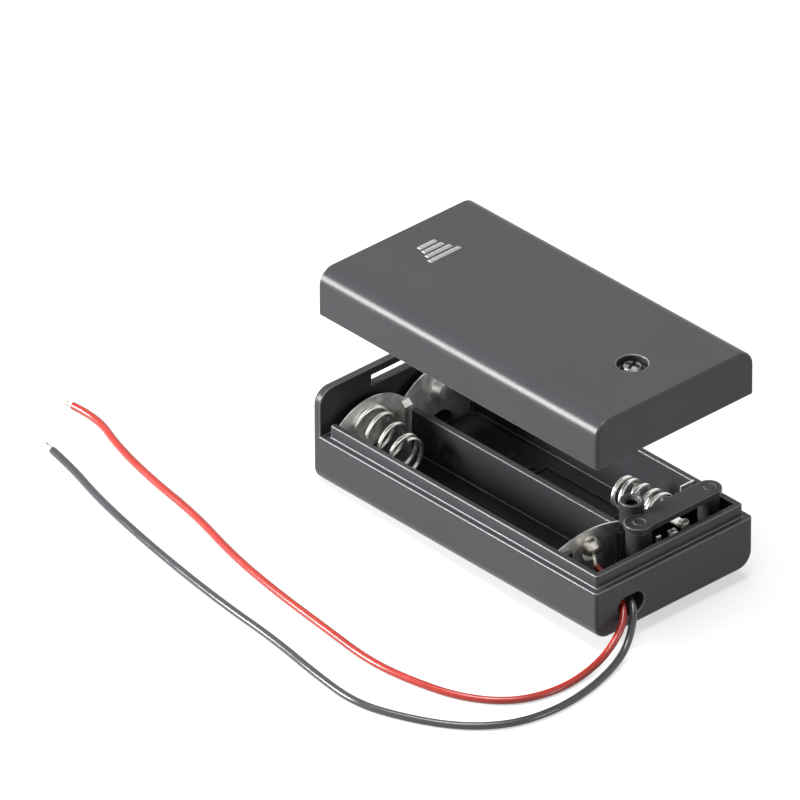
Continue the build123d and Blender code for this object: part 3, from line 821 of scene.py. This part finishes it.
# Legend beside the switch slot, as it reads from below: piece, word, middle in Y and width
LEGEND_X = 23.9
LEGEND_Z = -0.02
LEGEND_SIZE = 3.4
LEGEND_DEPTH = 0.12
LEGEND_EASE = 0.03
LEGEND = (
    ("legend_off", "OFF", 1.9, 5.3),
    ("legend_dash", "\u2014", 5.85, 1.5),
    ("legend_on", "ON", 8.9, 4.5),
)


def bar_box(work, x0, x1, y0, y1, z0, z1):
    """Adds a box with these limits, in millimetres, to a bmesh."""
    made = bmesh.ops.create_cube(work, size=1.0)
    matrix = Matrix.Translation(Vector(((x0 + x1) / 2, (y0 + y1) / 2, (z0 + z1) / 2)) * MM)
    scale = Matrix.Diagonal(Vector(((x1 - x0) * MM, (y1 - y0) * MM, (z1 - z0) * MM, 1.0)))
    bmesh.ops.transform(work, matrix=matrix @ scale, verts=made["verts"])


def bay_strokes():
    """Strokes of the far bay's marks: limits in X, and limits in Y from the middle of the bay."""
    half = MARK_STROKE / 2
    sign = SIGN_STROKE / 2
    return (
        (CELL_START, CELL_END, -CELL_HALF - half, -CELL_HALF + half),
        (CELL_START, CELL_END, CELL_HALF - half, CELL_HALF + half),
        (CELL_START - half, CELL_START + half, -CELL_HALF - half, CELL_HALF + half),
        (CELL_END - half, CELL_END + half, -CELL_HALF - half, CELL_HALF + half),
        (BUTTON_END, CELL_START, -BUTTON_HALF - half, -BUTTON_HALF + half),
        (BUTTON_END, CELL_START, BUTTON_HALF - half, BUTTON_HALF + half),
        (BUTTON_END - half, BUTTON_END + half, -BUTTON_HALF - half, BUTTON_HALF + half),
        (PLUS_X - PLUS_REACH, PLUS_X + PLUS_REACH, -sign, sign),
        (PLUS_X - sign, PLUS_X + sign, -PLUS_REACH, -sign),
        (PLUS_X - sign, PLUS_X + sign, sign, PLUS_REACH),
        (MINUS_X - sign, MINUS_X + sign, -MINUS_REACH, MINUS_REACH),
    )


class MarkOperator(bpy.types.Operator):
    """Raised polarity marks in the bays and the switch legend under the tray"""
    bl_idname = "holder.marks"
    bl_label = "Marks"

    def execute(self, context):
        """Raises the marks from the floor and the legend from the underside."""
        top = FLOOR_TOP + context.scene.holder_sizes.mark_height / MM
        for name, side in BAY_MARKS:
            work = bmesh.new()
            y = side * BAY_Y
            for x0, x1, y0, y1 in bay_strokes():
                ends = sorted(MARK_MIDDLE + side * (x - MARK_MIDDLE) for x in (x0, x1))
                bar_box(work, ends[0], ends[1], y + y0, y + y1, FLOOR_TOP - MARK_SINK, top)
            mesh = bpy.data.meshes.new(name)
            work.to_mesh(mesh)
            work.free()
            obj = link_object(name, mesh)
            paint(obj, materials["marks"])
            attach(obj, "tray")
        for name, word, y, width in LEGEND:
            text = bpy.data.curves.new(name, "FONT")
            text.body = word
            text.size = LEGEND_SIZE * MM
            text.extrude = LEGEND_DEPTH * MM
            text.bevel_depth = LEGEND_EASE * MM
            text.align_x = "CENTER"
            text.align_y = "CENTER"
            turned = Matrix(((0, 1, 0), (1, 0, 0), (0, 0, -1))).to_4x4()
            work_obj = link_object("legend_work", text)
            bpy.context.view_layer.update()
            narrowed = Matrix.Scale(width * MM / work_obj.dimensions.x, 4, Vector((1, 0, 0)))
            place = Matrix.Translation(Vector((LEGEND_X, y, LEGEND_Z)) * MM)
            work_obj.matrix_world = place @ turned @ narrowed
            obj = plain_mesh(work_obj, name)
            paint(obj, materials["marks"])
            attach(obj, "tray")
        return {"FINISHED"}


class StageOperator(bpy.types.Operator):
    """Camera, soft studio light and a white floor"""
    bl_idname = "holder.stage"
    bl_label = "Stage"

    def execute(self, context):
        """Sets the camera at the photograph's angle, the lamps, the world and the floor."""
        scene = context.scene
        scene.view_settings.view_transform = "Standard"
        set_camera(scene)
        set_lamps()
        set_world(scene)
        set_floor()
        return {"FINISHED"}


CAMERA_AZIMUTH = 46.893
CAMERA_ELEVATION = 31.956
CAMERA_DISTANCE = 2.669115
CAMERA_LENS = 723.67
CAMERA_AIM = Vector((-0.018242, -0.012938, 0.021177))
CAMERA_TARGET = Vector((0.0, 0.0, 0.014))


def set_camera(scene):
    """Long lens from the right front; its middle looks left of the case, as the picture is framed."""
    a = math.radians(CAMERA_AZIMUTH)
    e = math.radians(CAMERA_ELEVATION)
    back = Vector((math.sin(a) * math.cos(e), -math.cos(a) * math.cos(e), math.sin(e)))
    place = CAMERA_TARGET + back * CAMERA_DISTANCE
    right = Vector((math.cos(a), math.sin(a), 0.0))
    forward = (CAMERA_AIM - place).normalized()
    right = (right - forward * right.dot(forward)).normalized()
    up = right.cross(forward)
    data = bpy.data.cameras.new("camera")
    data.lens = CAMERA_LENS
    data.sensor_width = 36.0
    data.clip_start = 0.1
    data.clip_end = 20.0
    data.dof.use_dof = False
    camera = link_object("camera", data)
    turn = Matrix((right, up, -forward)).transposed()
    camera.matrix_world = Matrix.Translation(place) @ turn.to_4x4()
    scene.camera = camera


# Lamps: place and size in metres, power in watts
LAMPS = (
    ("key", (-0.6, -0.8, 0.34), (0.3, 0.4), 24.0),
    ("top", (0.0, -0.1, 1.1), (0.6, 0.6), 13.5),
    ("low", (1.0, 0.35, 0.14), (0.3, 0.2), 2.0),
)


def set_lamps():
    """Soft lamps: a low key from the left front, one overhead and a low one that looks into the tray."""
    for name, place, size, power in LAMPS:
        data = bpy.data.lights.new(name, "AREA")
        data.shape = "RECTANGLE"
        data.size = size[0]
        data.size_y = size[1]
        data.energy = power
        lamp = link_object(name, data)
        lamp.location = place
        lamp.rotation_mode = "QUATERNION"
        lamp.rotation_quaternion = (-Vector(place)).to_track_quat("-Z", "Y")


# Share of the white surroundings that lights the holder
WORLD_LIGHT = 0.2


def seen_plainly(tree):
    """1 for what the camera sees, directly, in gloss or through a clear piece, and 0 otherwise."""
    path = add(tree, "ShaderNodeLightPath")
    bent = add(tree, "ShaderNodeMath", {"operation": "MAXIMUM"},
               {0: path.outputs["Is Glossy Ray"], 1: path.outputs["Is Transmission Ray"]})
    seen = add(tree, "ShaderNodeMath", {"operation": "MAXIMUM"},
               {0: path.outputs["Is Camera Ray"], 1: bent.outputs["Value"]})
    return seen.outputs["Value"]


def set_world(scene):
    """Even white surroundings; seen directly, in gloss or through, they are plain white."""
    world = bpy.data.worlds.new("studio")
    world.use_nodes = True
    tree = world.node_tree
    tree.nodes.clear()
    level = add(tree, "ShaderNodeMapRange", {"To Min": WORLD_LIGHT, "To Max": 1.0},
                {"Value": seen_plainly(tree)})
    light = add(tree, "ShaderNodeBackground", {"Color": (1, 1, 1, 1)}, {"Strength": level.outputs["Result"]})
    add(tree, "ShaderNodeOutputWorld", links={"Surface": light.outputs["Background"]})
    scene.world = world


# White floor in metres and shares of white: half its width, how far under the table height it lies
FLOOR_HALF = 1.2
FLOOR_DROP = 0.02 * MM
FLOOR_GREY = 0.4
FLOOR_GLOW = 0.6


def set_floor():
    """White sweep that the tray and the leads stand on; it shows white and keeps a soft shadow."""
    mesh = bpy.data.meshes.new("floor")
    corners = [Vector((x, y, table(x) - FLOOR_DROP)) for x, y in
               ((-FLOOR_HALF, -FLOOR_HALF), (FLOOR_HALF, -FLOOR_HALF), (FLOOR_HALF, FLOOR_HALF),
                (-FLOOR_HALF, FLOOR_HALF))]
    mesh.from_pydata(corners, [], [(0, 1, 2, 3)])
    floor = link_object("floor", mesh)
    material, tree = new_material("white_paper_floor")
    diffuse = add(tree, "ShaderNodeBsdfDiffuse", {"Color": (FLOOR_GREY, FLOOR_GREY, FLOOR_GREY, 1)})
    glow = add(tree, "ShaderNodeEmission", {"Color": (1, 1, 1, 1), "Strength": FLOOR_GLOW})
    both = add(tree, "ShaderNodeAddShader", links={0: diffuse.outputs["BSDF"], 1: glow.outputs["Emission"]})
    mixed = add(tree, "ShaderNodeMixShader", links={0: seen_plainly(tree), 1: diffuse.outputs["BSDF"],
                                                    2: both.outputs["Shader"]})
    add(tree, "ShaderNodeOutputMaterial", links={"Surface": mixed.outputs["Shader"]})
    mesh.materials.append(material)


class HolderPanel(bpy.types.Panel):
    """Sizes and steps of the holder's dressing"""
    bl_idname = "VIEW3D_PT_holder"
    bl_label = "Battery holder"
    bl_space_type = "VIEW_3D"
    bl_region_type = "UI"
    bl_category = "Holder"

    def draw(self, context):
        """Lists the sizes and one button for each step."""
        for group, owner in ((context.scene.holder_sizes, HolderSizes),
                             (context.scene.holder_colours, HolderColours)):
            for name in owner.__annotations__:
                self.layout.prop(group, name)
        for operator in OPERATORS:
            self.layout.operator(operator.bl_idname)


OPERATORS = (StageOperator, LeadOperator, CaseOperator, MetalOperator, ThreadOperator, SpringOperator,
             SolderOperator, MarkOperator)
CLASSES = (HolderSizes, HolderColours, *OPERATORS, HolderPanel)


def register():
    """Makes the sizes, the steps and the panel known."""
    for cls in CLASSES:
        bpy.utils.register_class(cls)
    bpy.types.Scene.holder_sizes = bpy.props.PointerProperty(type=HolderSizes)
    bpy.types.Scene.holder_colours = bpy.props.PointerProperty(type=HolderColours)


def unregister():
    """Takes them away again."""
    del bpy.types.Scene.holder_colours
    del bpy.types.Scene.holder_sizes
    for cls in reversed(CLASSES):
        bpy.utils.unregister_class(cls)


def main():
    """Dresses the whole holder."""
    register()
    make_materials(bpy.context.scene.holder_colours)
    for operator in OPERATORS:
        area, step = operator.bl_idname.split(".")
        if getattr(getattr(bpy.ops, area), step)() != {"FINISHED"}:
            raise RuntimeError(operator.bl_label + " wasn't finished")


if __name__ == "__main__":
    main()
